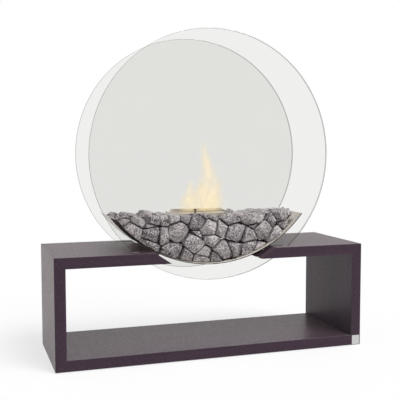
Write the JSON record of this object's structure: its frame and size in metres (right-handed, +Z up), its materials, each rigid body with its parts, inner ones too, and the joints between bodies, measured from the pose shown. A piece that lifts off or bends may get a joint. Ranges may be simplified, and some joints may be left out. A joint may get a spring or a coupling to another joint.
{
  "type": "bioethanol fireplace",
  "caption": "Free-standing ethanol fireplace: round glass panes stand on edge in an open dark board frame, with a steel bowl of loose stones and a lidded burner between them.",
  "frame": {"origin": "on the floor, at the middle of the footprint", "axes": "+Z up, -Y towards the front with the badge plate, +X to the right seen from the front"},
  "size_m": [1.19, 0.4004, 1.2129],
  "materials": {
    "wood": "dark stained oak veneer, satin lacquer",
    "glass": "clear tempered glass, polished edge",
    "steel": "brushed stainless steel",
    "dark_steel": "heat-toned bare steel sheet",
    "knob": "turned stainless steel",
    "badge": "bare satin plate",
    "rubber": "translucent silicone rubber",
    "plastic": "matt black",
    "wool": "ceramic fibre wool",
    "granite": "broken speckled grey granite"
  },
  "bodies": {
    "stand": {"badge_plate": "badge", "base_panel": "wood", "bowl_strip_left": "rubber", "bowl_strip_right": "rubber", "burner_bracket_left": "dark_steel", "burner_bracket_right": "dark_steel", "corner_iron_left_front": "dark_steel", "corner_iron_left_rear": "dark_steel", "corner_iron_right_front": "dark_steel", "corner_iron_right_rear": "dark_steel", "fire_bowl": "steel", "front_seat_left": "rubber", "front_seat_right": "rubber", "glide_left_front": "plastic", "glide_left_rear": "plastic", "glide_right_front": "plastic", "glide_right_rear": "plastic", "left_side_panel": "wood", "mitre_spline_left": "wood", "mitre_spline_right": "wood", "rear_seat_left": "rubber", "rear_seat_right": "rubber", "right_side_panel": "wood", "stone_01": "granite", "stone_02": "granite", "stone_03": "granite", "stone_04": "granite", "stone_05": "granite", "stone_06": "granite", "stone_07": "granite", "stone_08": "granite", "stone_09": "granite", "stone_10": "granite", "stone_11": "granite", "stone_12": "granite", "stone_13": "granite", "stone_14": "granite", "stone_15": "granite", "stone_16": "granite", "stone_17": "granite", "stone_18": "granite", "stone_19": "granite", "stone_20": "granite", "stone_bed_front": "granite", "stone_bed_left": "granite", "stone_bed_rear": "granite", "stone_bed_right": "granite", "top_panel_left": "wood", "top_panel_right": "wood"},
    "burner": {"burner_tank": "dark_steel", "fuel_wool": "wool", "burner_plate": "steel", "lid_rail_left": "steel", "lid_rail_right": "steel", "lid_stop": "steel"},
    "lid": {"burner_lid": "steel", "lid_knob": "knob"},
    "front_pane": {"front_glass_disc": "glass"},
    "rear_pane": {"rear_glass_disc": "glass"}
  },
  "joints": [
    {"name": "burner_lift", "type": "slide", "parent": "stand", "child": "burner", "axis": [0, 0, 1], "range_m": [0, 0.15]},
    {"name": "lid_slide", "type": "slide", "parent": "burner", "child": "lid", "axis": [0, 1, 0], "range_m": [0, 0.06]},
    {"name": "front_pane_lift", "type": "slide", "parent": "stand", "child": "front_pane", "axis": [0, 0, 1], "range_m": [0, 0.12]},
    {"name": "rear_pane_lift", "type": "slide", "parent": "stand", "child": "rear_pane", "axis": [0, 0, 1], "range_m": [0, 0.12]}
  ]
}
